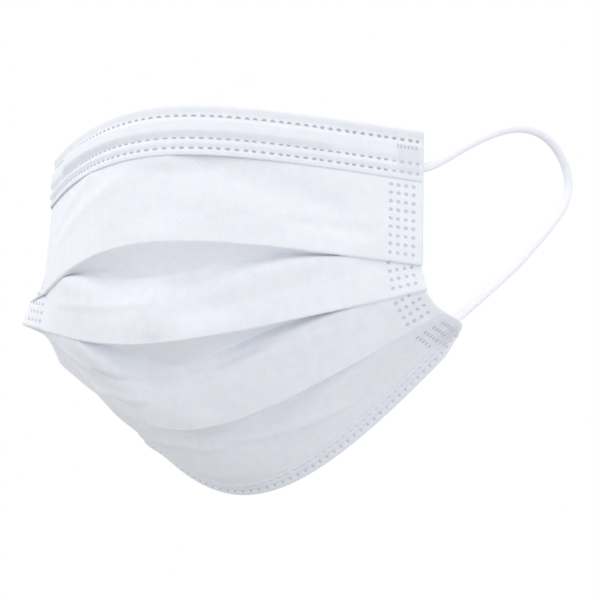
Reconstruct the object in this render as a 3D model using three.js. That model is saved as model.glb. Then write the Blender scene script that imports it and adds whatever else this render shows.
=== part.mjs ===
// A pleated surgical face mask, shaped as it sits on a face.
//
// Millimetres, +Z up. The front of the mask faces -Y and the head is behind it, at +Y.
// The origin is at the middle of its upper rim, where it sits on the bridge of the nose.
// The mask is the same on both sides of X = 0.

import * as THREE from "three";

// Driving sizes
const WALL = 1; // every cloth wall
const GAP = 0.3; // clearance between two pieces, and between two layers of folded cloth
const LAYER = WALL + GAP; // spacing of cloth that lies on cloth
const HALF_WIDTH = 87.5; // half of the flat mask, measured along the cloth
const STRIPS = 32; // strips of facets across the whole mask

// The lines that run across the mask from one side edge to the other, from top to bottom.
// middleY, middleZ: its point over the nose; sideX, sideY, sideZ: its end at the right side edge.
// roundY, roundZ: how gently it turns over the nose, seen from above and from the front.
const LINES = {
  topEdge: { middleY: 0, middleZ: -2, sideX: 68, sideY: 51.5, sideZ: -4.5, roundY: 0.5, roundZ: 0.5 },
  fold1: { middleY: -5.5, middleZ: -43.5, sideX: 69, sideY: 47, sideZ: -46, roundY: 0.6, roundZ: 0.4 },
  fold2: { middleY: 1.5, middleZ: -73, sideX: 70.5, sideY: 46.5, sideZ: -54, roundY: 0.5, roundZ: 0.5 },
  fold3: { middleY: 26, middleZ: -96, sideX: 70.5, sideY: 57, sideZ: -60, roundY: 0.7, roundZ: 0.5 },
  bottomEdge: { middleY: 67, middleZ: -110.5, sideX: 70, sideY: 77, sideZ: -61, roundY: 0.5, roundZ: 0.6 },
};

// The three pleats. At each fold the cloth turns back behind itself by the tuck, then comes down
// again as the next panel, of the length given, and swells outwards between the folds.
const PLEATS = [
  { fold: "fold1", next: "fold2", tuck: 11, panel: 21, swell: 2 },
  { fold: "fold2", next: "fold3", tuck: 13.5, panel: 22, swell: 2.5 },
  { fold: "fold3", next: "bottomEdge", tuck: 12.5, panel: 32, swell: 3 },
];
const SIDE_TUCK = 7; // depth of a tuck where the sides are welded flat
const SIDE_SINK = 0.1; // how far its inner crease sinks behind the panel in front
const FOLD_RADIUS = LAYER / 2; // of a fold, so that cloth laid back on itself keeps its gap
const CREASE_RADIUS = 2; // of a tuck's inner crease where the pleat stands open
const WELD = { opens: 0.6, flat: 0.9 }; // shares of the half width between which a pleat closes
const TOP_SWELL = 1.5; // the first panel's swell
const TOP_ROWS = [0.18, 0.4, 0.7]; // shares of the first panel's depth at which it is shaped
const KNEE = 0.4; // the same for the other panels: where one comes free of its tuck
const BELLY = 0.73; // and its lower point
const QUARTERS = [0.25, 0.5, 0.75, 1]; // of the round on which cloth turns

// The hem folded over the top edge, with the nose wire inside it
const NOSE_BAND = { front: 13.6, back: 3, ends: 0.992 };
const WIRE = { length: 104, width: 4, thick: 0.8, below: 2.6, strips: 24 };
const RIDGE = { room: 0.4, slope: 1.4, fades: 6 }; // the band's bulge over and past the wire

// The narrow hem folded over the bottom edge
const CHIN_BAND = { front: 5.5, back: 3, ends: 0.992 };

// The welded patches that hold the ends of the ear loops, on the inside of the mask
// inner, outer: shares of the half width. upper, lower: distances from the mask's edge at which
// the patch begins and ends, on its way down.
const PATCH = { inner: 0.875, outer: 0.965, thick: 0.8, upper: [4.3, 15], lower: [12.3, 4.3] };

// The right ear loop, from the upper patch round to the lower one
const LOOP_DIAMETER = 2.9;
const LOOP_STEPS = 72;
const LOOP_ROUTE = [
  [64.8, 50.4, -14.4],
  [66.3, 52.1, -14.1],
  [68.5, 55, -12.9],
  [71.3, 60, -9.8],
  [74.6, 68, -4.6],
  [78.3, 79, 1.6],
  [81.9, 90, 6.5],
  [85, 100, 9.1],
  [88, 109.5, 8.9],
  [90.2, 117.5, 5.6],
  [91.5, 122.5, 0.4],
  [91.8, 124, -5.6],
  [91, 121.5, -12.4],
  [88.9, 115, -20],
  [85.6, 106.5, -28.6],
  [81.9, 98, -37.2],
  [77.6, 89, -45.2],
  [73.4, 80.5, -51.8],
  [69.9, 73.6, -56.2],
  [67.5, 70.2, -58.2],
  [65.6, 69.6, -60],
];

const CLOTH = new THREE.MeshStandardMaterial({ color: "#eef1fa", roughness: 0.9, metalness: 0 });
const HEM = new THREE.MeshStandardMaterial({ color: "#e9ecf6", roughness: 0.9, metalness: 0 });
const WELDED = new THREE.MeshStandardMaterial({ color: "#d4d6dd", roughness: 0.6, metalness: 0 });
const ELASTIC = new THREE.MeshStandardMaterial({ color: "#eeeff4", roughness: 0.85, metalness: 0 });
const COATED_WIRE = new THREE.MeshStandardMaterial({ color: "#f2f2f4", roughness: 0.5, metalness: 0 });

const mix = (from, to, share) => from.clone().lerp(to, share);
const moved = (point, direction, distance) => point.clone().addScaledVector(direction, distance);

// 0 at the middle, 1 at the end, with a rounded turn between two straight flanks
function roundedVee(x, round) {
  return (Math.hypot(round, x) - round) / (Math.hypot(round, 1) - round);
}

// A line as a chain of points, with the distance of each along the cloth
function measuredLine(line) {
  const pieces = 120;
  const points = [];
  const lengths = [0];
  for (let i = 0; i <= pieces; i += 1) {
    const x = (2 * i) / pieces - 1;
    const y = line.middleY + (line.sideY - line.middleY) * roundedVee(x, line.roundY);
    const z = line.middleZ + (line.sideZ - line.middleZ) * roundedVee(x, line.roundZ);
    points.push(new THREE.Vector3(line.sideX * x, y, z));
    if (i > 0) lengths.push(lengths[i - 1] + points[i].distanceTo(points[i - 1]));
  }
  return { points, lengths };
}

const MEASURED = Object.fromEntries(
  Object.entries(LINES).map(([name, line]) => [name, measuredLine(line)]),
);

// The point of a line at a share of the half width: -1 left edge, 0 middle, 1 right edge
function onLine(name, share) {
  const { points, lengths } = MEASURED[name];
  const wanted = ((share + 1) / 2) * lengths[lengths.length - 1];
  let i = 1;
  while (i < lengths.length - 1 && lengths[i] < wanted) i += 1;
  const part = (wanted - lengths[i - 1]) / (lengths[i] - lengths[i - 1]);
  return mix(points[i - 1], points[i], part);
}

function alongLine(name, share) {
  const step = 0.01;
  return onLine(name, share + step).sub(onLine(name, share - step)).normalize();
}

// How far a pleat stands open: 1 over the face, 0 where the sides are welded flat
function openness(share) {
  return 1 - THREE.MathUtils.smoothstep(Math.abs(share), WELD.opens, WELD.flat);
}

// A swell between two ends of a panel, at part of the way down it
function swellAt(height, part, share) {
  return height * Math.sin(Math.PI * part) * Math.cos((Math.PI / 2) * share) ** 2;
}

// Four points of the round on which the cloth turns from one direction to another
function turn(from, before, after, radius) {
  const angle = before.angleTo(after);
  const aside = moved(after, before, -after.dot(before)).normalize();
  return QUARTERS.map((part) => {
    const point = moved(from, before, radius * Math.sin(part * angle));
    return moved(point, aside, radius * (1 - Math.cos(part * angle)));
  });
}

// Where a tuck's inner crease lies when the pleat stands open: the tuck and the panel below it
// are two links of fixed length between this fold and the next.
function openCrease(fold, next, along, pleat) {
  const chord = next.clone().sub(fold);
  const distance = chord.length();
  chord.normalize();
  const inwards = along.clone().cross(chord).normalize();
  const raw = (pleat.tuck ** 2 - pleat.panel ** 2 + distance ** 2) / (2 * distance);
  const down = THREE.MathUtils.clamp(raw, -pleat.tuck, pleat.tuck);
  const depth = Math.sqrt(pleat.tuck ** 2 - down ** 2);
  return moved(moved(fold, chord, down), inwards, depth);
}

// The middle of the cloth at one share of the width, as points from the top edge down to the
// bottom edge, in and out of the three pleats
function section(share) {
  const open = openness(share);
  const top = onLine("topEdge", share);
  const points = [top];
  let start = top;
  let fold = onLine("fold1", share);
  const outOfTop = fold.clone().sub(top).cross(alongLine("fold1", share)).normalize();
  for (const part of TOP_ROWS) {
    points.push(moved(mix(top, fold, part), outOfTop, swellAt(TOP_SWELL, part, share)));
  }
  for (const pleat of PLEATS) {
    const along = alongLine(pleat.fold, share);
    const next = onLine(pleat.next, share);
    const down = fold.clone().sub(start).normalize();
    const out = down.clone().cross(along).normalize();
    const flatCrease = moved(moved(fold, down, -SIDE_TUCK), out, -SIDE_SINK);
    const back = mix(flatCrease, openCrease(fold, next, along, pleat), open).sub(fold);
    const tuck = back.length();
    back.normalize();
    const firstTurn = turn(fold, down, back, FOLD_RADIUS);
    const crease = moved(firstTurn[3], back, tuck);
    const behind = moved(fold, out, -2 * (LAYER + GAP));
    const ahead = mix(behind, next, open ** 2).sub(crease).normalize();
    const secondTurn = turn(crease, back, ahead, FOLD_RADIUS + open * (CREASE_RADIUS - FOLD_RADIUS));
    const knee = mix(behind, mix(secondTurn[3], next, KNEE), open ** 2);
    const facing = next.clone().sub(knee).cross(along).normalize();
    points.push(fold, ...firstTurn, crease, ...secondTurn);
    const belly = mix(knee, next, (BELLY - KNEE) / (1 - KNEE));
    points.push(moved(knee, facing, swellAt(pleat.swell, KNEE, share)));
    points.push(moved(belly, facing, swellAt(pleat.swell, BELLY, share)));
    start = knee;
    fold = next;
  }
  points.push(fold);
  return points;
}

// A closed wall made of a grid of points, grown by half its thickness to both sides. Each column
// of the grid runs down the mask, and the columns run from its left to its right.
function wall(grid, thickness) {
  const columns = grid.length;
  const rows = grid[0].length;
  const corners = [];
  for (const side of [0.5, -0.5]) {
    for (let i = 0; i < columns; i += 1) {
      for (let j = 0; j < rows; j += 1) {
        const across = grid[Math.min(i + 1, columns - 1)][j].clone().sub(grid[Math.max(i - 1, 0)][j]);
        const down = grid[i][Math.min(j + 1, rows - 1)].clone().sub(grid[i][Math.max(j - 1, 0)]);
        const out = down.cross(across).normalize();
        corners.push(moved(grid[i][j], out, side * thickness));
      }
    }
  }
  const outer = (i, j) => i * rows + j;
  const inner = (i, j) => columns * rows + i * rows + j;
  const faces = [];
  // Two facets that meet on the shorter diagonal
  const quad = (a, b, c, d) => {
    if (corners[a].distanceTo(corners[c]) < corners[b].distanceTo(corners[d])) {
      faces.push(a, b, c, a, c, d);
    } else {
      faces.push(a, b, d, b, c, d);
    }
  };
  for (let i = 0; i < columns - 1; i += 1) {
    for (let j = 0; j < rows - 1; j += 1) {
      quad(outer(i, j), outer(i, j + 1), outer(i + 1, j + 1), outer(i + 1, j));
      quad(inner(i, j), inner(i + 1, j), inner(i + 1, j + 1), inner(i, j + 1));
    }
    quad(inner(i, 0), outer(i, 0), outer(i + 1, 0), inner(i + 1, 0));
    quad(outer(i, rows - 1), inner(i, rows - 1), inner(i + 1, rows - 1), outer(i + 1, rows - 1));
  }
  for (let j = 0; j < rows - 1; j += 1) {
    quad(outer(0, j), inner(0, j), inner(0, j + 1), outer(0, j + 1));
    quad(inner(columns - 1, j), outer(columns - 1, j), outer(columns - 1, j + 1), inner(columns - 1, j + 1));
  }
  const geometry = new THREE.BufferGeometry().setFromPoints(corners);
  geometry.setIndex(faces);
  return geometry;
}

// The point beside a chain of points, at a distance along it and a distance out of it
function besidePath(path, along, distance, out) {
  let left = distance;
  let i = 1;
  while (i < path.length - 1 && left > path[i].distanceTo(path[i - 1])) {
    left -= path[i].distanceTo(path[i - 1]);
    i += 1;
  }
  const way = path[i].clone().sub(path[i - 1]).normalize();
  const facing = way.clone().cross(along).normalize();
  return moved(moved(path[i - 1], way, left), facing, out);
}

// A point at a distance down the first panel from the top edge, and at a distance out of it
function onTopPanel(share, below, out) {
  const panel = section(share).slice(0, TOP_ROWS.length + 2);
  return besidePath(panel, alongLine("topEdge", share), below, out);
}

// The same on the last panel, measured upwards from the bottom edge
function onBottomPanel(share, above, out) {
  const panel = section(share).slice(-3).reverse();
  return besidePath(panel, alongLine("bottomEdge", share).negate(), above, out);
}

function shares(from, to, count) {
  return Array.from({ length: count + 1 }, (unused, i) => from + ((to - from) * i) / count);
}

// The mask's own strips, with the outermost cut short at an end before the side edge
function stripShares(end) {
  return shares(-1, 1, STRIPS).map((share) => THREE.MathUtils.clamp(share, -end, end));
}

// A hem that is folded over an edge, as rows of [distance from the edge, distance out of the cloth]
function hemRows(hem, ridge) {
  const rows = [[hem.front, LAYER], ...ridge, [0, LAYER]];
  for (const part of QUARTERS.slice(0, 3)) {
    rows.push([-LAYER * Math.sin(Math.PI * part), LAYER * Math.cos(Math.PI * part)]);
  }
  return [...rows, [0, -LAYER], [hem.back, -LAYER]];
}

// The ridge that the wire makes in the nose band, which fades out past the wire's ends
function wireRidge(share) {
  const beyond = Math.abs(share) * HALF_WIDTH - WIRE.length / 2;
  const fade = 1 - THREE.MathUtils.smoothstep(beyond, 0, RIDGE.fades);
  const height = LAYER + (WIRE.thick + GAP) * fade;
  const lower = WIRE.below + WIRE.width + RIDGE.room;
  const upper = WIRE.below - RIDGE.room;
  return [
    [lower + RIDGE.slope, LAYER],
    [lower, height],
    [upper, height],
    [upper - RIDGE.slope, LAYER],
  ];
}

function noseBand() {
  const grid = stripShares(NOSE_BAND.ends).map((share) => {
    const rows = hemRows(NOSE_BAND, wireRidge(share)).reverse(); // now from the back to the front
    return rows.map(([below, out]) => onTopPanel(share, below, out));
  });
  return wall(grid, WALL);
}

function chinBand() {
  const grid = stripShares(CHIN_BAND.ends).map((share) =>
    hemRows(CHIN_BAND, []).map(([above, out]) => onBottomPanel(share, above, out)),
  );
  return wall(grid, WALL);
}

function noseWire() {
  const end = WIRE.length / 2 / HALF_WIDTH;
  const out = WALL / 2 + GAP + WIRE.thick / 2;
  const grid = shares(-end, end, WIRE.strips).map((share) =>
    [WIRE.below, WIRE.below + WIRE.width].map((below) => onTopPanel(share, below, out)),
  );
  return wall(grid, WIRE.thick);
}

// A patch on the inner face, from one distance from the panel's edge to another. hand is 1 on
// the right and -1 on the left.
function patch(onPanel, [from, to], hand) {
  const out = -(WALL / 2 + GAP + PATCH.thick / 2);
  const across = shares(PATCH.inner, PATCH.outer, 3).map((share) => hand * share);
  const grid = across.sort((a, b) => a - b).map((share) =>
    [from, (from + to) / 2, to].map((distance) => onPanel(share, distance, out)),
  );
  return wall(grid, PATCH.thick);
}

function earLoop(hand) {
  const route = LOOP_ROUTE.map(([x, y, z]) => new THREE.Vector3(hand * x, y, z));
  const path = new THREE.CatmullRomCurve3(route, false, "centripetal");
  const ring = new THREE.Shape();
  for (let i = 0; i < 8; i += 1) {
    const angle = (Math.PI * (i + 0.5)) / 4;
    const x = (LOOP_DIAMETER / 2) * Math.cos(angle);
    const y = (LOOP_DIAMETER / 2) * Math.sin(angle);
    if (i === 0) ring.moveTo(x, y);
    else ring.lineTo(x, y);
  }
  ring.closePath();
  return new THREE.ExtrudeGeometry(ring, { steps: LOOP_STEPS, extrudePath: path });
}

const mask = new THREE.Group();

function add(name, geometry, material) {
  const mesh = new THREE.Mesh(geometry, material);
  mesh.name = name;
  mask.add(mesh);
}

add("pleated_panel", wall(shares(-1, 1, STRIPS).map(section), WALL), CLOTH);
add("nose_band", noseBand(), HEM);
add("nose_wire", noseWire(), COATED_WIRE);
add("chin_band", chinBand(), HEM);
for (const [side, hand] of [["right", 1], ["left", -1]]) {
  add(`loop_weld_upper_${side}`, patch(onTopPanel, PATCH.upper, hand), WELDED);
  add(`loop_weld_lower_${side}`, patch(onBottomPanel, PATCH.lower, hand), WELDED);
  add(`ear_loop_${side}`, earLoop(hand), ELASTIC);
}

export default mask;
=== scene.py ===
import math

import bpy
import numpy as np
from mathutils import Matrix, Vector
from mathutils.bvhtree import BVHTree


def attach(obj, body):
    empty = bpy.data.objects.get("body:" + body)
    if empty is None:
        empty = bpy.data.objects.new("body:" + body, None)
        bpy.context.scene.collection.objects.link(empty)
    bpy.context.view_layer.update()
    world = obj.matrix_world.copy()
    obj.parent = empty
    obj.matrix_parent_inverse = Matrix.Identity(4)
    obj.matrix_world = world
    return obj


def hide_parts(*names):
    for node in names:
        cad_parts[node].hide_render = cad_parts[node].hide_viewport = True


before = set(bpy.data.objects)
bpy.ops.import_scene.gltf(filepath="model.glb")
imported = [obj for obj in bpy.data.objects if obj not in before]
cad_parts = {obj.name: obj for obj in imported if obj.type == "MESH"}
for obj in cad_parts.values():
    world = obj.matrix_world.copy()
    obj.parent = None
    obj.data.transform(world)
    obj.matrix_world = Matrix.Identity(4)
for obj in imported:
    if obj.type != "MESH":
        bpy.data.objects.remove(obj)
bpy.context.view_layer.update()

# ---- Camera -------------------------------------------------------------------------------
# It stands low in front of the mask, off towards the wearer's left, and looks up at it from
# three quarters of a metre away, through a long lens.

camera = bpy.data.objects.new("camera", bpy.data.cameras.new("camera"))
camera.data.sensor_width = 36
camera.data.lens = 145
camera.location = (0.337, -0.633, -0.210)
aim = Vector((0.0326, 0.0354, -0.0566)) - camera.location
camera.rotation_euler = aim.to_track_quat("-Z", "Y").to_euler()
bpy.context.scene.collection.objects.link(camera)
bpy.context.scene.camera = camera

# ---- Ear loops ----------------------------------------------------------------------------
# Soft round elastic, knitted from white nylon over spandex. Each loop's two ends are laid on
# the inside of the mask at its upper and lower corners and welded down.

MM = 0.001
LOOP_DIAMETER = 2.9 * MM
LOOP_RIBS = 14  # of the knitting, round the cord
LOOP_STITCH = 0.9 * MM  # its pitch along the cord
# The elastic's two colours: the darker one is painted shade for the knit's grooves, the lighter
# one is for its ridges.
LOOP_GROOVE_SHADE_AND_RIDGE = ((0.87, 0.885, 0.94), (0.95, 0.96, 1.0))
STITCH_SWELL = 0.012  # share of the radius
END_SQUEEZE = 0.35  # share by which the welded ends are thinner
LOOP_ROUTE = [  # of the right loop, in metres, from its upper end round to its lower end
    (0.0648, 0.0504, -0.0144),
    (0.0663, 0.0521, -0.0141),
    (0.0685, 0.0550, -0.0129),
    (0.0713, 0.0600, -0.0098),
    (0.0746, 0.0680, -0.0046),
    (0.0783, 0.0790, 0.0016),
    (0.0819, 0.0900, 0.0065),
    (0.0850, 0.1000, 0.0091),
    (0.0880, 0.1095, 0.0089),
    (0.0902, 0.1175, 0.0056),
    (0.0915, 0.1225, 0.0004),
    (0.0918, 0.1240, -0.0056),
    (0.0910, 0.1215, -0.0124),
    (0.0889, 0.1150, -0.0200),
    (0.0856, 0.1065, -0.0286),
    (0.0819, 0.0980, -0.0372),
    (0.0776, 0.0890, -0.0452),
    (0.0736, 0.0808, -0.0524),
    (0.0709, 0.0752, -0.0571),
    (0.0684, 0.0718, -0.0604),
    (0.0660, 0.0706, -0.0628),
]
LEFT_SHIFT = {  # of the left loop's two ends, where the end of the mask is bent back
    "upper": (0.0048, 0.0026, 0.0015),
    "lower": (0.0066, 0.0040, 0.0016),
}
SHIFT_FADES = 0.4  # share of the loop over which each shift fades out


def smooth_step(part):
    part = np.clip(part, 0, 1)
    return part**2 * (3 - 2 * part)


def smooth_line(knots, steps):
    """Rows of points on a smooth line through the knots: steps[i] rows from knot i on, and the
    last knot. The knots are an array of knot, column, xyz."""
    knots = np.asarray(knots, float)
    gap = np.linalg.norm(np.diff(knots, axis=0), axis=2, keepdims=True) ** 0.5
    chord = np.diff(knots, axis=0) / gap
    slope = [chord[0]]
    for i in range(1, len(knots) - 1):
        both = (knots[i + 1] - knots[i - 1]) / (gap[i - 1] + gap[i])
        slope.append(chord[i - 1] + chord[i] - both)
    slope.append(chord[-1])
    rows = []
    for i, count in enumerate(steps):
        for t in np.arange(count) / count:
            rows.append(
                (2 * t**3 - 3 * t**2 + 1) * knots[i]
                + (3 * t**2 - 2 * t**3) * knots[i + 1]
                + (t**3 - 2 * t**2 + t) * gap[i] * slope[i]
                + (t**3 - t**2) * gap[i] * slope[i + 1]
            )
    return [*rows, knots[-1]]


def reach_along(line):
    """How far along a line each of its points lies."""
    return np.concatenate([[0], np.cumsum(np.linalg.norm(np.diff(line, axis=0), axis=1))])


def points_at(where, reach, line):
    """The points at distances along a line, from the reach of its own points."""
    return np.stack([np.interp(where, reach, line[:, k]) for k in range(3)], 1)


def unit(vectors):
    return vectors / np.linalg.norm(vectors, axis=-1, keepdims=True)


def mesh_of(name, corners, faces, cloth_place=None):
    """A mesh object, shaded smooth. cloth_place holds each corner's place on the flat cloth, in
    metres, which becomes its UV map."""
    mesh = bpy.data.meshes.new(name)
    mesh.from_pydata(np.asarray(corners).reshape(-1, 3).tolist(), [], faces)
    if cloth_place is not None:
        layer = mesh.uv_layers.new(name="cloth")
        corner_of = np.zeros(len(mesh.loops), int)
        mesh.loops.foreach_get("vertex_index", corner_of)
        places = np.asarray(cloth_place, np.float32).reshape(-1, 2)
        layer.data.foreach_set("uv", places[corner_of].ravel())
    mesh.shade_smooth()
    piece = bpy.data.objects.new(name, mesh)
    bpy.context.scene.collection.objects.link(piece)
    return piece


def elastic_cord(name, hand):
    """One loop, as rings along the route: the right one for hand 1, the left one for -1."""
    route = np.array(LOOP_ROUTE) * (hand, 1, 1)
    if hand < 0:
        along = np.linspace(0, 1, len(route))[:, None]
        route += smooth_step(1 - along / SHIFT_FADES) * LEFT_SHIFT["upper"]
        route += smooth_step(1 - (1 - along) / SHIFT_FADES) * LEFT_SHIFT["lower"]
    line = np.array(smooth_line(route[:, None], [14] * (len(route) - 1)))[:, 0]
    reach = reach_along(line)
    rings, sides = 420, 16
    even = np.linspace(0, reach[-1], rings)
    line = points_at(even, reach, line)
    way = unit(np.gradient(line, axis=0))
    side = np.cross(way[0], (0, 0, 1.0))
    corners, places = [], []
    for i in range(rings):
        side = unit(side - way[i] * side.dot(way[i]))
        other = np.cross(way[i], side)
        from_end = min(even[i], reach[-1] - even[i])
        squeeze = 1 - END_SQUEEZE * np.exp(-from_end / (2 * MM))
        knit = 1 + STITCH_SWELL * math.sin(even[i] / LOOP_STITCH * 2 * math.pi)
        for j in range(sides):
            turn = 2 * math.pi * j / sides
            radius = LOOP_DIAMETER / 2 * knit * squeeze
            corners.append(line[i] + radius * (math.cos(turn) * side + math.sin(turn) * other))
            places.append((j / sides * math.pi * LOOP_DIAMETER, even[i]))
    number = np.arange(rings * sides).reshape(rings, sides)
    faces = [number[0, ::-1].tolist(), number[-1].tolist()]
    for ring, following in zip(number, number[1:]):
        quads = [ring, np.roll(ring, -1), np.roll(following, -1), following]
        faces += np.stack(quads, 1).tolist()
    piece = mesh_of(name, corners, faces, places)
    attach(piece, "root")
    return piece


loop_right = elastic_cord("elastic_loop_right", 1)
loop_left = elastic_cord("elastic_loop_left", -1)
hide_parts("ear_loop_right")
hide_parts("ear_loop_left")


class Signal:
    """One output of a material's nodes. Arithmetic on signals adds Math nodes."""

    def __init__(self, tree, socket=None):
        self.tree = tree
        self.socket = socket

    def node(self, kind, settings, inputs, output=0):
        made = self.tree.nodes.new(kind)
        for name, value in settings.items():
            setattr(made, name, value)
        for name, value in inputs.items():
            if isinstance(value, Signal):
                self.tree.links.new(value.socket, made.inputs[name])
            else:
                made.inputs[name].default_value = value
        return Signal(self.tree, made.outputs[output])

    def calc(self, operation, *values):
        return self.node("ShaderNodeMath", {"operation": operation}, dict(enumerate(values)))

    def between(self, low, high):
        """0 where the signal is at low, 1 where it is at high, and smooth between them."""
        settings = {"interpolation_type": "SMOOTHSTEP"}
        inputs = {"Value": self, "From Min": low, "From Max": high}
        return self.node("ShaderNodeMapRange", settings, inputs)

    def tint(self, dark, light):
        """A colour between two, at this share of the way."""
        ends = [end if isinstance(end, Signal) else (*end, 1) for end in (dark, light)]
        inputs = {"Factor": self, 6: ends[0], 7: ends[1]}
        return self.node("ShaderNodeMix", {"data_type": "RGBA"}, inputs, 2)

    def __add__(self, other):
        return self.calc("ADD", self, other)

    def __sub__(self, other):
        return self.calc("SUBTRACT", self, other)

    def __rsub__(self, other):
        return self.calc("SUBTRACT", other, self)

    def __mul__(self, other):
        return self.calc("MULTIPLY", self, other)

    __radd__ = __add__
    __rmul__ = __mul__


def new_finish(name, roughness, sheen=0.0, specular=0.3, cloudy=0.0):
    """A material with its shader, and a signal to start its other nodes from. Light passes
    through a cloudy one."""
    material = bpy.data.materials.new(name)
    material.use_nodes = True
    shader = material.node_tree.nodes["Principled BSDF"]
    shader.inputs["Roughness"].default_value = roughness
    shader.inputs["Sheen Weight"].default_value = sheen
    shader.inputs["Specular IOR Level"].default_value = specular
    if cloudy:
        shader.inputs["Subsurface Weight"].default_value = cloudy
        shader.inputs["Subsurface Scale"].default_value = 0.5 * MM
        shader.inputs["Subsurface Radius"].default_value = (1, 1, 1)
    return material, shader, Signal(material.node_tree)


def wire_up(start, shader, colour, height, depth):
    """Joins a colour and a relief, depth metres deep, to the shader."""
    bump = start.node("ShaderNodeBump", {}, {"Height": height, "Distance": depth, "Strength": 1.0})
    start.tree.links.new(colour.socket, shader.inputs["Base Color"])
    start.tree.links.new(bump.socket, shader.inputs["Normal"])


knitted, shader, start = new_finish("knitted elastic", 0.85, sheen=0.2)
place = start.node("ShaderNodeUVMap", {"uv_map": "cloth"}, {})
across = start.node("ShaderNodeSeparateXYZ", {}, {"Vector": place})
along = start.node("ShaderNodeSeparateXYZ", {}, {"Vector": place}, 1)
ribs = (across * (LOOP_RIBS * 2 / LOOP_DIAMETER)).calc("SINE")
stitches = (along * (2 * math.pi / LOOP_STITCH) + ribs * 0.8).calc("SINE")
height = ribs * 0.5 + stitches * 0.35
# The colour follows the knit's relief: its grooves are painted darker as painted shade, and its
# ridges lighter.
colour = height.between(-0.9, 0.4).tint(*LOOP_GROOVE_SHADE_AND_RIDGE)
wire_up(start, shader, colour, height, 0.05 * MM)
for piece in (loop_right, loop_left):
    piece.data.materials.append(knitted)

# ---- Pleated panel ------------------------------------------------------------------------
# The body of the mask: three plies of white spunbond and meltblown polypropylene, laid
# together and folded into three pleats that open downwards. Both side edges are welded flat
# through every layer with four columns of small round points.

HALF_WIDTH = 87.5  # of the flat mask, in millimetres, as are all the sizes in this section
CLOTH = 0.5  # thickness
LAYER = 0.8  # spacing of cloth that lies on cloth
BEHIND = 1.8  # of those spacings, from a fold to the panel that comes out from behind it
LINES = {  # middle y, z; end x, y, z; roundness seen from above and from the front
    "top_edge": (0, -1.1, 68, 51.5, -3.6, 0.5, 0.5),
    "fold_1": (-5.5, -43.5, 69, 47, -46, 0.6, 0.4),
    "fold_2": (1.5, -73, 70.5, 46.5, -54, 0.5, 0.5),
    "fold_3": (26, -96, 72.0, 54, -60.6, 0.7, 0.5),
    "bottom_edge": (67, -110.5, 70, 80.5, -61, 0.5, 0.6),
}
LEFT_LEAN = {  # how the left half sits askew, as a shift of each line's left part
    "top_edge": (0, 0, 2.2),
    "fold_3": (1.5, 1, 0.5),
    "bottom_edge": (0.6, 0, 1.8),
}
LEAN_GROWS = 1.3  # over the left half, so that the shift is full before the end
LEFT_STEP = {  # where the lower edge turns in at the left
    "at": -0.48,
    "bulge": 2.0,
    "bulge_width": 0.05,
    "tucked_in": 3,
    "tucked_over": 0.25,
    "lift": 0.5,
}
HINGE, HINGE_WIDTH = -0.83, 0.07  # the share where the left end is bent by the pull of its loop
LEFT_TURN = [  # height of the cloth at the hinge, and the angle by which the end is bent back
    (-25, 24),
    (-43, 2),
    (-47, -12),
    (-58, -12),
    (-66, 46),
]
CORNER = {  # how the lower corners are rounded
    "starts": 0.86,
    "swells": 2.6,
    "draws_in": 2.6,
    "turns": 0.8,
    "turn_width": 0.2,
}
PLEATS = [  # fold, next line, depth of the tuck, length of the panel below it, swell, where shut
    ("fold_1", "fold_2", 11, 21, 2, 0.7),
    ("fold_2", "fold_3", 15.5, 21.5, 2.5, 0.56),
    ("fold_3", "bottom_edge", 12.5, 32, 3, 0.7),
]
CLOSES_FROM = {"left": 0.1, "right": 0.0}  # the shares from which a pleat closes
SHUT_RIGHT = 0.9  # the share where it is shut at the right
SHUT_DEPTH, DEEPENS, CLOSED = 0.04, 1.3, 0.12  # how its tuck deepens as it opens
SIDE_TUCK, SIDE_SINK = 7, 0.1  # depth of a shut tuck, and how far in its crease lies
FOLD_RADIUS, CREASE_RADIUS = 0.42, 1.2
TOP_SWELL, TOP_ROWS = 1.5, (0.18, 0.4, 0.7)
KNEE, BELLY = 0.4, 0.73  # shares of the way down a panel where it bends
TURN_STEPS, TUCK_STEPS = 8, 10  # rows of points on each turn of the cloth, and between two
TUCK_ROWS = TURN_STEPS + TUCK_STEPS + TURN_STEPS


def rounded_vee(x, gentle):
    """0 in the middle and 1 at both ends, on a straight slope with a rounded foot."""
    return (np.hypot(gentle, x) - gentle) / (np.hypot(gentle, 1) - gentle)


def on_line(name, share):
    """Points of a line at shares of the half width, -1 at its left end and 1 at its right."""
    middle_y, middle_z, side_x, side_y, side_z, round_y, round_z = LINES[name]
    x = np.linspace(-1, 1, 241)
    chain = np.stack([
        side_x * x,
        middle_y + (side_y - middle_y) * rounded_vee(x, round_y),
        middle_z + (side_z - middle_z) * rounded_vee(x, round_z),
    ], 1)
    reach = reach_along(chain)
    points = points_at((share + 1) / 2 * reach[-1], reach, chain)
    lean = np.sin(math.pi / 2 * np.clip(-LEAN_GROWS * share, 0, 1)) ** 2
    points = points + lean[:, None] * LEFT_LEAN.get(name, (0, 0, 0))
    if name == "bottom_edge":
        past = LEFT_STEP["at"] - share
        bulge = LEFT_STEP["bulge"] * np.exp(-((past / LEFT_STEP["bulge_width"]) ** 2))
        tucked = LEFT_STEP["tucked_in"] * smooth_step(past / LEFT_STEP["tucked_over"])
        points[:, 0] += tucked - bulge
        points[:, 2] += LEFT_STEP["lift"] * tucked
    return points


def along_line(name, share):
    """The direction of a line towards its right end."""
    return unit(on_line(name, share + 0.01) - on_line(name, share - 0.01))


def openness(share, shut_left):
    """1 where a pleat stands open, in the middle, and 0 where it is shut, towards the sides."""
    left, right = CLOSES_FROM["left"], CLOSES_FROM["right"]
    to_left = (-share - left) / (shut_left - left)
    to_right = (share - right) / (SHUT_RIGHT - right)
    return 1 - smooth_step(np.where(share < 0, to_left, to_right))[:, None]


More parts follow.
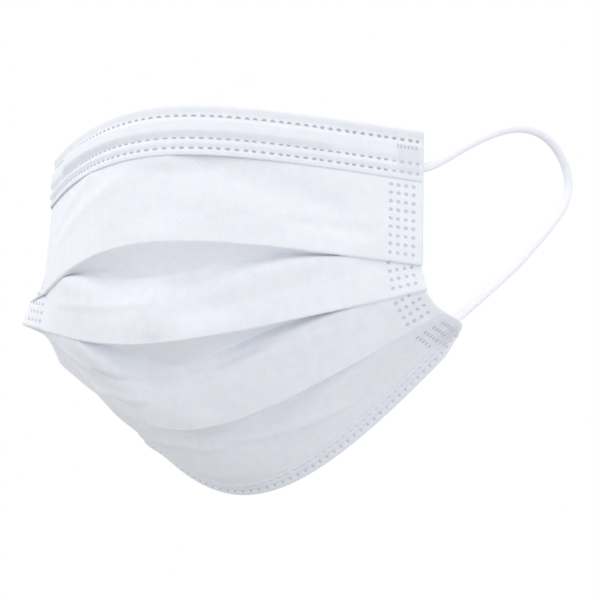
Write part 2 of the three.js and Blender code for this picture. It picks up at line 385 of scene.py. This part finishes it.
def swell(height, part, share):
    """How far a panel bellies out, part of the way down it."""
    return (height * math.sin(math.pi * part) * np.cos(math.pi / 2 * share) ** 2)[:, None]


def blend(a, b, share):
    return a + (b - a) * share


def turn(point, before, after, radius):
    """Rows on the round where the cloth turns from one direction to another."""
    angle = np.arccos(np.clip((before * after).sum(1, keepdims=True), -1, 1))
    aside = unit(after - before * (before * after).sum(1, keepdims=True))
    rows = []
    for part in np.arange(1, TURN_STEPS + 1) / TURN_STEPS:
        ahead = before * radius * np.sin(part * angle)
        rows.append(point + ahead + aside * radius * (1 - np.cos(part * angle)))
    return rows


def open_crease(fold, below, along, tuck, panel):
    """Where the crease behind an open fold lies, from the lengths of its tuck and the panel."""
    chord = below - fold
    distance = np.linalg.norm(chord, axis=1, keepdims=True)
    chord = chord / distance
    down = np.clip((tuck**2 - panel**2 + distance**2) / (2 * distance), -tuck, tuck)
    return fold + chord * down + unit(np.cross(along, chord)) * np.sqrt(tuck**2 - down**2)


def pleated(share):
    """The middle of the cloth before its left end is bent, as an array of row, column, xyz,
    from the top edge down. Also the row numbers of the three folds."""
    start = on_line("top_edge", share)
    fold = on_line("fold_1", share)
    facing = unit(np.cross(fold - start, along_line("fold_1", share)))
    knots = [start]
    knots += [blend(start, fold, t) + facing * swell(TOP_SWELL, t, share) for t in TOP_ROWS]
    rows = smooth_line([*knots, fold], [6, 10, 16, 16])
    folds = []
    for name, below_name, tuck, panel, height, shut_left in PLEATS:
        folds.append(len(rows) - 1)
        mouth = openness(share, shut_left)
        along = along_line(name, share)
        below = on_line(below_name, share)
        down = unit(fold - start)
        out = unit(np.cross(down, along))
        flat_crease = fold - down * SIDE_TUCK - out * SIDE_SINK
        deepened = SHUT_DEPTH + (1 - SHUT_DEPTH) * mouth**DEEPENS
        deep = blend(fold, open_crease(fold, below, along, tuck, panel), deepened)
        back = blend(flat_crease, deep, smooth_step(mouth / CLOSED)) - fold
        depth = np.linalg.norm(back, axis=1, keepdims=True)
        back = back / depth
        rows += turn(fold, down, back, FOLD_RADIUS)
        crease = rows[-1] + back * depth
        steps = np.arange(1, TUCK_STEPS + 1) / TUCK_STEPS
        rows += [blend(rows[-1], crease, t) for t in steps]
        behind = fold - out * BEHIND * LAYER
        ahead = unit(blend(behind, below, mouth) - crease)
        radius = FOLD_RADIUS + mouth * (CREASE_RADIUS - FOLD_RADIUS)
        rows += turn(crease, back, ahead, radius)
        knee = blend(behind, blend(rows[-1], below, KNEE), mouth)
        facing = unit(np.cross(below - knee, along))
        belly = blend(knee, below, (BELLY - KNEE) / (1 - KNEE))
        knots = [
            rows[-1],
            knee + facing * swell(height, KNEE, share),
            belly + facing * swell(height, BELLY, share),
            below,
        ]
        rows += smooth_line(knots, [12, 12, 10])[1:]
        start = knee
        fold = below
    return np.array(rows), folds


def section(share):
    """The same, with its lower corners rounded and the left end bent back."""
    rows, folds = pleated(share)
    down = np.clip(np.linspace(-1, 1, len(rows) - folds[-1]), 0, 1)[:, None]
    swells = CORNER["swells"] * np.sin(math.pi * down)
    drawn_in = smooth_step((down - CORNER["turns"]) / CORNER["turn_width"])
    at_end = smooth_step((np.abs(share) - CORNER["starts"]) / (1 - CORNER["starts"]))
    rows[folds[-1] :, :, 0] += (swells - CORNER["draws_in"] * drawn_in) * at_end * np.sign(share)
    hinge = pleated(np.array([HINGE]))[0]
    heights, angles = np.array(LEFT_TURN[::-1]).T
    bend = smooth_step((HINGE - share) / HINGE_WIDTH)
    angle = -np.radians(np.interp(hinge[:, :, 2], heights, angles)) * bend
    arm = rows - hinge
    x = hinge[..., 0] + arm[..., 0] * np.cos(angle) - arm[..., 1] * np.sin(angle)
    y = hinge[..., 1] + arm[..., 0] * np.sin(angle) + arm[..., 1] * np.cos(angle)
    rows[..., 0] = np.where(bend > 0, x, rows[..., 0])
    rows[..., 1] = np.where(bend > 0, y, rows[..., 1])
    return rows, folds


def along_row(share, row):
    """The direction of a row of the cloth towards the right end."""
    return unit(section(share + 0.01)[0][row] - section(share - 0.01)[0][row])


def wall_mesh(name, grid, place, pressed, thickness=CLOTH):
    """A sheet through a grid of points in millimetres, with its thickness. place is each
    point's place on the flat cloth, and pressed is 1 where a weld patch lies beneath it."""
    rows, columns = grid.shape[:2]
    number = np.arange(rows * columns).reshape(rows, columns)
    faces = np.stack([number[:-1, :-1], number[1:, :-1], number[1:, 1:], number[:-1, 1:]], 2)
    piece = mesh_of(name, grid * MM, faces.reshape(-1, 4).tolist(), place * MM)
    flat = piece.data.attributes.new("pressed", "FLOAT", "POINT")
    flat.data.foreach_set("value", pressed.astype(np.float32).ravel())
    solid = piece.modifiers.new("thickness", "SOLIDIFY")
    solid.thickness = thickness * MM
    solid.offset = 0
    return piece


def normals_of(grid):
    """The outward direction at each point of a grid."""
    return unit(np.cross(np.gradient(grid, axis=0), np.gradient(grid, axis=1)))


def round_off(value, pitch, first):
    """The distance to the nearest of a row of places: first, first + pitch, and so on."""
    return value - first - np.maximum(np.round((value - first) / pitch), 0) * pitch


def reach_up_to(grid, row):
    """How far along the cloth each point lies above a row, in each column."""
    steps = np.linalg.norm(np.diff(grid, axis=0), axis=2)
    reach = np.concatenate([np.zeros((1, grid.shape[1])), np.cumsum(steps, axis=0)])
    return reach[row] - reach


WRINKLES = [  # panel; one end's x and height above the fold below; the other end's; width; rise
    (0, 2, -1, 4, 27, 9, -1.3),
    (0, 40, 8, 74, 7.5, 2.2, -0.6),
    (0, 4, 27, 70, 11, 6, -1.5),
    (0, -62, 11, -4, 22, 2.6, 0.5),
    (0, -66, 17, -20, 29, 2.2, 0.4),
    (1, 0, -4, -1, 24, 1.5, 0.55),
    (1, 14, -4, 12, 26, 8, -2.4),
    (1, -64, 9.5, 2, 12, 1.4, 0.35),
    (1, 14, 6, 62, 12, 4, -0.5),
    (2, -64, 13, -34, 13.5, 1.1, 0.55),
    (2, -42, 13, 14, 18.5, 1.1, -0.8),
    (2, 10, 18.5, 30, 19.5, 1.1, -0.7),
    (2, 26, 19.8, 58, 15.5, 1.3, -0.6),
    (2, -46, 4, -10, 9.8, 1.3, 0.6),
    (2, -58, 8, -28, 3, 1.5, 0.5),
    (2, 0, -4, 0, 22, 1.6, 0.4),
    (2, 8, -4, 7, 20, 6, -1.2),
    (2, -30, 2, -34, 16, 5, -0.8),
    (3, -38, 20, 10, 28.2, 1.4, 0.9),
    (3, 6, 28.2, 31, 24, 1.4, 0.9),
    (3, 27, 25, 48, 17, 1.6, 0.8),
    (3, -30, 27, 6, 36, 1.5, 0.6),
    (3, -36, 10, 20, 14, 2.5, 0.4),
]
RIPPLE = 0.15  # height of the faint unevenness all over


def wrinkled(grid, x, ends):
    """How far the wrinkles lift each point of the panel."""
    rise = np.zeros(grid.shape[:2])
    for panel, x0, above0, x1, above1, width, height in WRINKLES:
        top = ends[panel - 1] + TUCK_ROWS if panel else 0
        above = reach_up_to(grid, ends[panel])[top : ends[panel] + 1]
        way = np.array([x1 - x0, above1 - above0], float)
        length = np.hypot(*way)
        way /= length
        along = (x - x0) * way[0] + (above - above0) * way[1]
        aside = (above - above0) * way[0] - (x - x0) * way[1]
        taper = 0.2 * length
        fade = smooth_step(along / taper) * smooth_step((length - along) / taper)
        fade = fade * smooth_step(above / (1 + width)) * smooth_step((above[0] - above) / 4)
        rise[top : ends[panel] + 1] += height * fade * np.exp(-((aside / width) ** 2))
    down = reach_up_to(grid, ends[-1])
    between_hems = smooth_step((down - 8) / 6) * smooth_step((-reach_up_to(grid, 0) - 17) / 6)
    ripple = np.sin(x / 7.1 + 1.3 * np.sin(down / 9)) * np.sin(down / 8.3 + x / 23)
    rise += RIPPLE * between_hems * ripple
    return rise * smooth_step((78 - np.abs(x)) / 10)


IMPRINT = {"out": 86.4, "in": 77.6, "upper": (4.3, 15), "lower": (1.5, 13.5)}


def imprint(x, distance, start, end):
    """1 where a loop's end is welded on beneath the cloth, and 0 elsewhere, with soft edges."""
    beside_it = smooth_step((np.abs(x) - IMPRINT["in"]) / 1.4)
    beside_it = beside_it * smooth_step((IMPRINT["out"] - np.abs(x)) / 1.0)
    return beside_it * smooth_step((distance - start) / 1.2) * smooth_step((end - distance) / 1.4)


SIDE_WELD = {"first": 3.4, "across": 2.57, "columns": 4}  # from the side edge
SIDE_PITCH = {"first": 2.3, "down": 2.8}  # from the fold below
SIDE_DIMPLE = {"depth": 0.13, "across": 0.75, "down": 0.7}
side = np.arange(HALF_WIDTH, 73, -0.5)  # columns of points, closer over the side welds
flat_x = np.concatenate([-side, np.linspace(-72.6, 72.6, 140), side[::-1]])
share = flat_x / HALF_WIDTH
panel_grid, folds = section(share)
ends = [*folds, len(panel_grid) - 1]
middle = panel_grid[:, len(share) // 2]
panel_place = np.stack(np.meshgrid(flat_x, reach_along(middle)), 2)


def side_dimples(grid, x):
    """How deep the points of the side welds press into each point of the panel."""
    inwards = HALF_WIDTH - np.abs(x)
    across = round_off(inwards, SIDE_WELD["across"], SIDE_WELD["first"])
    last = SIDE_WELD["first"] + SIDE_WELD["across"] * (SIDE_WELD["columns"] - 1)
    across = np.where(inwards > last, inwards - last, across)
    across = across / SIDE_DIMPLE["across"]
    depth = np.zeros(grid.shape[:2])
    top = 0
    for end in ends:
        above = reach_up_to(grid, end)[top : end + 1]
        down = round_off(above, SIDE_PITCH["down"], SIDE_PITCH["first"]) / SIDE_DIMPLE["down"]
        depth[top : end + 1] = np.exp(-(across**2) - down**2)
        top = end + 1
    return SIDE_DIMPLE["depth"] * depth


panel_pressed = imprint(flat_x, reach_up_to(panel_grid, ends[-1]), *IMPRINT["lower"])
sunk = side_dimples(panel_grid, flat_x) - wrinkled(panel_grid, flat_x, ends)
panel_grid = panel_grid - normals_of(panel_grid) * sunk[..., None]
panel = wall_mesh("folded_cloth", panel_grid, panel_place, panel_pressed)
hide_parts("pleated_panel")
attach(panel, "root")

SPUNBOND_COLOURS = ((0.825, 0.845, 0.90), (0.9, 0.912, 0.955))
PRESSED_COLOUR = (0.42, 0.43, 0.48)
BOND_PITCH = 1.3 * MM  # of the cloth's own bond points
WAFFLE_PITCH = 1.7 * MM  # of the pattern where a loop is welded on


def spunbond(name, colours, cloudy):
    """White polypropylene spunbond: a felt of fine fibres, pinned by a close grid of tiny bond
    points, and a little cloudy where the fibres lie thicker."""
    material, shader, start = new_finish(name, 0.9, sheen=0.15, specular=0.25, cloudy=cloudy)
    place = start.node("ShaderNodeUVMap", {"uv_map": "cloth"}, {})

    def noise(scale, detail, **more):
        inputs = {"Vector": place, "Scale": scale, "Detail": detail, **more}
        return start.node("ShaderNodeTexNoise", {}, inputs)

    fibres = noise(1600.0, 3.0, Distortion=1.5)
    clouds = noise(260.0, 4.0, Roughness=0.65)
    slant = {"Vector": place, "Rotation": (0, 0, math.radians(45))}
    turned = start.node("ShaderNodeMapping", {}, slant)
    grid = {"Vector": turned, "Scale": 1 / BOND_PITCH, "Randomness": 0.0}
    bond = start.node("ShaderNodeTexVoronoi", {}, grid).between(0.12, 0.34)
    pressed = start.node("ShaderNodeAttribute", {"attribute_name": "pressed"}, {}, 2)
    u = start.node("ShaderNodeSeparateXYZ", {}, {"Vector": place})
    v = start.node("ShaderNodeSeparateXYZ", {}, {"Vector": place}, 1)
    pitch = 2 * math.pi / WAFFLE_PITCH
    waffle = ((u * pitch).calc("SINE") * (v * pitch).calc("SINE")).between(0.15, 0.6) * pressed
    height = fibres * 0.45 + bond * 0.55 - waffle * 3
    shade = clouds.between(0.25, 0.75) * 0.6 + fibres.between(0.3, 0.7) * 0.25 + bond * 0.09
    colour = (pressed * 0.12 + waffle * 0.35).tint(shade.tint(*colours), PRESSED_COLOUR)
    wire_up(start, shader, colour, height, 0.05 * MM)
    return material


spunbond_cloth = spunbond("white spunbond", SPUNBOND_COLOURS, 0.3)
panel.data.materials.append(spunbond_cloth)

# ---- Nose band ----------------------------------------------------------------------------
# The hem along the upper rim: the outer ply is folded over the rim and spot welded down in
# three rows of points. The nose wire lies in the channel between the first row and the second.

NOSE_ROWS = (2.9, 10.3, 13.6)  # of weld points, in millimetres below the top edge
NOSE_FRONT, NOSE_BACK = 16.0, 3.2  # how far down it reaches in front of the panel and behind
RIM = 1.05  # radius of the cloth folded over the rim
HEM = 0.4  # thickness
LIE, BACK_LIE = 0.43, 0.9  # from the middle of the panel to the hem's front and back
SINK = 0.46  # how far the hem's welded edge is pressed in
ROLL_ENDS, FLAT_BESIDE = 2.2, 0.5  # the rim's roll, and the flat cloth beside a row of welds
PUFFS = {"channel": 0.5, "next": 0.45, "last": 0.35}  # height between the rows, from the top
LEFT_MORE = {"channel": 0.4, "next": 0.35, "last": 0.35}  # and what the left half adds
WIRE_HALF, WIRE_FADE, WIRE_RISE = 52, 7, 0.9
POINT_PITCH, POINT_SHIFT = 2.7, 1.6  # of the welds along a row
POINT_DEPTH = 0.2
FLATTENED = 0.7  # share of a hem's height that a loop's weld takes away


def beside(path, along, distance, out):
    """Points at distances down a path of rows, and out of it. Above its first row the path goes
    straight on."""
    made = np.empty((*distance.shape, 3))
    for i in range(path.shape[1]):
        line = path[:, i]
        reach = reach_along(line)
        first = unit(line[1] - line[0])

        def at(where):
            return points_at(where, reach, line) + first * np.minimum(where, 0)[:, None]

        way = unit(at(distance[:, i] + 0.4) - at(distance[:, i] - 0.4))
        facing = unit(np.cross(way, along[i]))
        made[:, i] = at(distance[:, i]) + facing * out[:, i, None]
    return made


def puff(distance, start, end):
    """A full round puff of cloth between two lines of welds: 0 on them, 1 half way."""
    part = np.clip((distance - start) / (end - start), 0, 1)
    return np.sin(math.pi * part) ** 0.7


hem_x = np.linspace(-86.9, 86.9, 436)


def press_rows(outwards, below, is_front, rows, end_x, height, width):
    """Presses rows of dimples into the front of a hem, out to end_x from its middle. Their
    places are counted from far out to the left."""
    dotted = smooth_step((end_x - np.abs(hem_x)) / 0.5)
    across = round_off(hem_x + 99 * POINT_PITCH, POINT_PITCH, POINT_SHIFT)
    for row in rows:
        dimple = np.exp(-(((below - row) / height) ** 2) - (across / width) ** 2)
        outwards -= is_front[:, None] * POINT_DEPTH * dotted * dimple


def from_top_edge(share):
    """The cloth from its top edge down to the first fold, and the way along that edge."""
    rows, folds = section(share)
    return rows[: folds[0] + 1], along_row(share, 0)


def hem(name, path, along, below, outwards, pressed, flat_from):
    """A hem, from how far its points lie down the panel and out of it, in millimetres. It is
    flattened where it is pressed. flat_from is its place on the flat cloth."""
    outwards = outwards - pressed * (outwards - LIE) * FLATTENED
    place = np.stack([np.repeat(hem_x[None], len(below), 0), below + flat_from], 2)
    return wall_mesh(name, beside(path, along, below, outwards), place, pressed, HEM)


turned_over = np.linspace(0, math.pi, 12)
front = np.arange(0.4, NOSE_FRONT, 0.42)
back = np.linspace(0.6, NOSE_BACK, 7)
below = np.concatenate([back[::-1], -RIM * np.sin(turned_over), front])
lies = [-np.full(len(back), BACK_LIE), -RIM * np.cos(turned_over), np.full(len(front), LIE)]
outwards = np.concatenate(lies)
below, outwards = (np.repeat(v[:, None], len(hem_x), 1) for v in (below, outwards))
is_front = np.arange(len(below)) >= len(back) + len(turned_over)
wired = smooth_step((WIRE_HALF + WIRE_FADE - np.abs(hem_x)) / WIRE_FADE)
left = smooth_step(-hem_x / 50)
first, second, third = NOSE_ROWS
channel = np.minimum(puff(below, first + FLAT_BESIDE, second - FLAT_BESIDE) * 1.35, 1)
next_puff = puff(below, second + FLAT_BESIDE, third - FLAT_BESIDE)
last_puff = puff(below, third + FLAT_BESIDE, NOSE_FRONT + 0.6)
outwards += is_front[:, None] * (
    smooth_step(1 - below / ROLL_ENDS) * (RIM - LIE)
    + channel * (PUFFS["channel"] + WIRE_RISE * wired + LEFT_MORE["channel"] * left)
    + next_puff * (PUFFS["next"] + LEFT_MORE["next"] * left)
    + last_puff * (PUFFS["last"] + LEFT_MORE["last"] * left)
    - smooth_step((below - NOSE_FRONT + 2.2) / 2.1) * SINK
)
press_rows(outwards, below, is_front, NOSE_ROWS, 86.4, 0.75, 0.95)
pressed = imprint(hem_x, below, *IMPRINT["upper"]) * is_front[:, None]
nose_band = hem("nose_hem", *from_top_edge(hem_x / HALF_WIDTH), below, outwards, pressed, 200)
hem_cloth = spunbond("white spunbond, folded over", SPUNBOND_COLOURS, 0.0)
nose_band.data.materials.append(hem_cloth)
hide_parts("nose_band")
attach(nose_band, "root")

# ---- Nose wire ----------------------------------------------------------------------------
# A flat strip of iron wire in a white plastic sheath. It lies loose in the channel of the nose
# band, between the first two rows of welds, and is bent by hand to the bridge of the nose.


def moulded(name, roughness, dark, light, scale):
    """Smooth plastic with a faint grain."""
    material, shader, start = new_finish(name, roughness, specular=0.5)
    position = start.node("ShaderNodeTexCoord", {}, {}, 3)
    inputs = {"Vector": position, "Scale": scale, "Detail": 2.0}
    grain = start.node("ShaderNodeTexNoise", {}, inputs)
    wire_up(start, shader, grain.tint(dark, light), grain, 0.02 * MM)
    return material


sheath = moulded("plastic sheath", 0.45, (0.83, 0.83, 0.84), (0.9, 0.9, 0.91), 900.0)
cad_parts["nose_wire"].data.materials.clear()
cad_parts["nose_wire"].data.materials.append(sheath)

# ---- Chin band ----------------------------------------------------------------------------
# The hem along the lower edge: the outer ply is folded over it and welded down by a ladder of
# short strokes, with the folded edge left full below them.

CHIN_ROWS = (1.9, 5.1)  # of strokes, in millimetres above the bottom edge
CHIN_FRONT = 7.2
CHIN_PUFFS = (0.35, 0.25)  # height between the rows and above them
ROLL, BACK_END = 1.35, 0.75  # radius of the cloth folded over the edge, and its end behind
front = np.arange(0.3, CHIN_FRONT, 0.36)
below = np.concatenate([front[::-1], -ROLL * np.sin(turned_over), back])
behind = -np.linspace(ROLL, BACK_END, len(back))
outwards = np.concatenate([np.full(len(front), LIE), ROLL * np.cos(turned_over), behind])
below, outwards = (np.repeat(v[:, None], len(hem_x), 1) for v in (below, outwards))
is_front = np.arange(len(below)) < len(front)
outwards += is_front[:, None] * (
    np.sqrt(np.clip(1 - (below / CHIN_ROWS[0]) ** 2, 0, 1)) * (ROLL - LIE)
    + puff(below, CHIN_ROWS[0], CHIN_ROWS[1]) * CHIN_PUFFS[0]
    + puff(below, CHIN_ROWS[1], CHIN_FRONT + 0.5) * CHIN_PUFFS[1]
    - smooth_step((below - CHIN_FRONT + 1.2) / 1.1) * SINK
)
press_rows(outwards, below, is_front, CHIN_ROWS, 84.6, 0.8, 0.6)
pressed = imprint(hem_x, below, *IMPRINT["lower"]) * is_front[:, None]


def from_lower_edge(share):
    """The cloth from its lower edge up over the last panel, and the way along that edge."""
    rows, folds = section(share)
    return rows[folds[-1] + TUCK_ROWS :][::-1], -along_row(share, len(rows) - 1)


chin_band = hem("chin_hem", *from_lower_edge(hem_x / HALF_WIDTH), below, outwards, pressed, 300)
chin_band.data.materials.append(hem_cloth)
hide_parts("chin_band")
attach(chin_band, "root")

# ---- Loop welds ---------------------------------------------------------------------------
# At each corner the loop's end is pressed flat and welded to the inside of the mask, which
# leaves a small waffled patch with the end of the elastic as a lump across it.

PATCH = {"upper": (4.3, 15, 26), "lower": (4.3, 12.3, 22)}  # from the nearest edge, and rows
PATCH_OUT = 86  # from the middle of the mask
PATCH_LIE, PATCH_THICK, PATCH_EDGE = 0.45, 0.25, 0.8
LUMP = {"upper": 10.6, "lower": 9.0, "rise": 1.2, "half_width": 1.5}  # from the nearest edge


def loop_weld(name, end, hand, node):
    """One patch, behind the upper or the lower end of a loop."""
    x = hand * np.linspace(IMPRINT["in"], PATCH_OUT, 22)
    path, along = {"upper": from_top_edge, "lower": from_lower_edge}[end](x / HALF_WIDTH)
    distance = np.repeat(np.linspace(*PATCH[end])[:, None], len(x), 1)
    lump = np.exp(-(((distance - LUMP[end]) / LUMP["half_width"]) ** 2))
    rim = smooth_step((distance - distance[0]) / PATCH_EDGE)
    rim = rim * smooth_step((distance[-1] - distance) / PATCH_EDGE)
    out = -PATCH_LIE - rim * (PATCH_THICK + LUMP["rise"] * lump)
    grid = beside(path, along, distance, out)
    place = np.stack([np.repeat(x[None], len(distance), 0), distance], 2)
    piece = wall_mesh(name, grid, place, np.ones(distance.shape), HEM)
    piece.data.materials.append(hem_cloth)
    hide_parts(node)
    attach(piece, "root")


loop_weld("upper_weld_right", "upper", 1, "loop_weld_upper_right")
loop_weld("upper_weld_left", "upper", -1, "loop_weld_upper_left")
loop_weld("lower_weld_right", "lower", 1, "loop_weld_lower_right")
loop_weld("lower_weld_left", "lower", -1, "loop_weld_lower_left")

# ---- Weld points --------------------------------------------------------------------------
# Where the welding horn's teeth meet, the plies are pressed into small spots of clear film,
# which look grey against the white cloth.

SPOT_THICKNESS = 0.18  # in millimetres, as are all the sizes in this section
OUTSIDE, SEARCH = 1.6, 4  # how far out the search for a piece's surface starts, and its length
ON_HEM = 0.6  # from the panel out into a hem
film = moulded("fused film", 0.4, (0.40, 0.42, 0.48), (0.52, 0.54, 0.60), 700.0)
half_fused = moulded("half fused cloth", 0.4, (0.55, 0.57, 0.65), (0.66, 0.68, 0.76), 700.0)


def weld_tree():
    """A tree that sets one pressed spot on each point, with its flat side along the cloth."""
    tree = bpy.data.node_groups.new("weld spots", "GeometryNodeTree")
    tree.interface.new_socket("Geometry", in_out="INPUT", socket_type="NodeSocketGeometry")
    for name in ("Length", "Width", "Thickness"):
        tree.interface.new_socket(name, in_out="INPUT", socket_type="NodeSocketFloat")
    tree.interface.new_socket("Material", in_out="INPUT", socket_type="NodeSocketMaterial")
    tree.interface.new_socket("Geometry", in_out="OUTPUT", socket_type="NodeSocketGeometry")

    def add(kind, inputs, **settings):
        node = tree.nodes.new(kind)
        for name, value in settings.items():
            setattr(node, name, value)
        for name, value in inputs.items():
            if isinstance(value, bpy.types.NodeSocket):
                tree.links.new(value, node.inputs[name])
            else:
                node.inputs[name].default_value = value
        return node

    given = add("NodeGroupInput", {}).outputs
    spot = add("GeometryNodeMeshCylinder", {"Vertices": 12, "Radius": 0.5, "Depth": 1.0})
    facing = add("GeometryNodeInputNamedAttribute", {"Name": "facing"}, data_type="FLOAT_VECTOR")
    along = add("GeometryNodeInputNamedAttribute", {"Name": "along"}, data_type="FLOAT_VECTOR")
    turned = add(
        "FunctionNodeAxesToRotation",
        {"Primary Axis": facing.outputs[0], "Secondary Axis": along.outputs[0]},
        primary_axis="Z",
        secondary_axis="X",
    )
    sides = {0: given["Length"], 1: given["Width"], 2: given["Thickness"]}
    size = add("ShaderNodeCombineXYZ", sides)
    spots = add(
        "GeometryNodeInstanceOnPoints",
        {
            "Points": given["Geometry"],
            "Instance": spot.outputs["Mesh"],
            "Rotation": turned.outputs[0],
            "Scale": size.outputs[0],
        },
    )
    real = add("GeometryNodeRealizeInstances", {"Geometry": spots.outputs[0]})
    painted = add("GeometryNodeSetMaterial", {"Geometry": real.outputs[0]})
    tree.links.new(given["Material"], painted.inputs["Material"])
    add("NodeGroupOutput", {"Geometry": painted.outputs[0]})
    return tree


WELD_TREE = weld_tree()


def weld_spots(name, cloth, near, facing, along, length, width, material):
    """Spots on a cloth piece, at its surface outwards of the points near. All the sizes are in
    millimetres, and along is the way in which a spot's length runs."""
    surface = BVHTree.FromObject(cloth, bpy.context.evaluated_depsgraph_get())
    found = []
    for point, out, way in zip(near * MM, facing, along):
        outside = Vector(point + out * OUTSIDE * MM)
        hit, normal, *_ = surface.ray_cast(outside, Vector(-out), SEARCH * MM)
        if hit is not None:
            found.append((hit, normal, way))
    base = bpy.data.meshes.new(name)
    base.from_pydata([hit for hit, *_ in found], [], [])
    for attribute, k in (("facing", 1), ("along", 2)):
        values = np.array([spot[k] for spot in found], np.float32)
        layer = base.attributes.new(attribute, "FLOAT_VECTOR", "POINT")
        layer.data.foreach_set("vector", values.ravel())
    piece = bpy.data.objects.new(name, base)
    bpy.context.scene.collection.objects.link(piece)
    setter = piece.modifiers.new("spots", "NODES")
    setter.node_group = WELD_TREE
    given = {"Length": length * MM, "Width": width * MM, "Thickness": SPOT_THICKNESS * MM}
    given["Material"] = material
    for item in WELD_TREE.interface.items_tree:
        if item.name in given:
            setter[item.identifier] = given[item.name]
    graph = bpy.context.evaluated_depsgraph_get()
    plain = bpy.data.meshes.new_from_object(piece.evaluated_get(graph))
    piece.modifiers.clear()
    piece.data = plain
    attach(piece, "root")
    return piece


def spots_beside(path, along, distances, out):
    """Places at distances from the edge in every column of a path, as points, facing, along."""
    distance = np.repeat(np.asarray(distances, float)[:, None], path.shape[1], 1)
    low = beside(path, along, distance, np.zeros_like(distance))
    high = beside(path, along, distance, np.ones_like(distance))
    facing = (high - low).reshape(-1, 3)
    ways = np.repeat(along[None], len(distances), 0).reshape(-1, 3)
    return low.reshape(-1, 3) + facing * out, facing, ways


count = int(84 / POINT_PITCH)
spot_x = np.arange(-count, count + 1) * POINT_PITCH + POINT_SHIFT
points = spots_beside(*from_top_edge(spot_x / HALF_WIDTH), NOSE_ROWS, ON_HEM)
clear = np.abs(spot_x) < IMPRINT["in"] - 1
clear = np.concatenate([np.ones(len(spot_x), bool), clear, clear])
full = [made[clear] for made in points]
over_loop = [made[~clear] for made in points]
weld_spots("nose_weld_points", nose_band, *full, 1.75, 1.3, film)
weld_spots("flattened_weld_points", nose_band, *over_loop, 1.5, 1.1, half_fused)

MARK_ROW = 5.4  # of the marks over the upper loop welds, below the top edge
mark_x = np.concatenate([np.arange(-84.6, -78, 1.3), np.arange(78.1, 85, 1.3)])
points = spots_beside(*from_top_edge(mark_x / HALF_WIDTH), [MARK_ROW], ON_HEM)
weld_spots("loop_weld_marks", nose_band, *points, 0.55, 1.7, half_fused)

points = spots_beside(*from_lower_edge(spot_x / HALF_WIDTH), CHIN_ROWS, ON_HEM)
weld_spots("chin_weld_strokes", chin_band, *points, 0.7, 1.6, half_fused)

SIDE_ROWS = (range(9), range(4), range(4), range(3, 8))  # above each fold and the lower edge
weld_x = HALF_WIDTH - SIDE_WELD["first"] - SIDE_WELD["across"] * np.arange(SIDE_WELD["columns"])
weld_x = np.concatenate([-weld_x, weld_x])
weld_rows, weld_folds = section(weld_x / HALF_WIDTH)
blocks = []
top = 0
for end, row_numbers in zip([*weld_folds, len(weld_rows) - 1], SIDE_ROWS):
    stretch = weld_rows[top : end + 1][::-1]
    along = -along_row(weld_x / HALF_WIDTH, end)
    distances = SIDE_PITCH["first"] + SIDE_PITCH["down"] * np.array(row_numbers)
    blocks.append(spots_beside(stretch, along, distances, 0))
    top = end + TUCK_ROWS
points = [np.concatenate(made) for made in zip(*blocks)]
weld_spots("side_weld_points", panel, *points, 1.4, 1.2, half_fused)

# ---- Floor, light and sky -----------------------------------------------------------------
# A plain pale floor far below the mask, a soft white sky, and three large soft lamps: a main
# one above and in front, and a weaker one low down at each side.

floor_corners = [(-40, -40, -1.2), (40, -40, -1.2), (40, 40, -1.2), (-40, 40, -1.2)]
floor = mesh_of("floor", floor_corners, [(0, 1, 2, 3)])
pale, shader, start = new_finish("pale floor", 0.8)
shader.inputs["Base Color"].default_value = (0.5, 0.5, 0.51, 1)
floor.data.materials.append(pale)

world = bpy.data.worlds.new("studio")
bpy.context.scene.world = world
world.use_nodes = True
sky = Signal(world.node_tree)
direction = sky.node("ShaderNodeTexCoord", {}, {})
up = sky.node("ShaderNodeSeparateXYZ", {}, {"Vector": direction}, 2)
glow = up.between(-0.5, 0.06)
colour = glow.tint((0.36, 0.37, 0.40), (1.0, 1.0, 1.0))
world.node_tree.links.new(colour.socket, world.node_tree.nodes["Background"].inputs["Color"])
bpy.context.scene.view_settings.view_transform = "Standard"


def soft_lamp(name, place, towards, size, power):
    lamp = bpy.data.objects.new(name, bpy.data.lights.new(name, "AREA"))
    lamp.data.size = size
    lamp.data.energy = power
    lamp.data.color = (0.925, 0.955, 1.0)
    lamp.location = place
    lamp.rotation_euler = (Vector(towards) - Vector(place)).to_track_quat("-Z", "Y").to_euler()
    bpy.context.scene.collection.objects.link(lamp)


soft_lamp("key", (-0.4, -0.7, 1.0), (0, 0.03, -0.05), 0.9, 3.4)
soft_lamp("right", (0.9, -0.3, -0.5), (0.05, 0.06, -0.05), 0.5, 2.4)
soft_lamp("left", (-0.9, -0.5, -0.1), (-0.04, 0.05, -0.05), 0.6, 1.45)
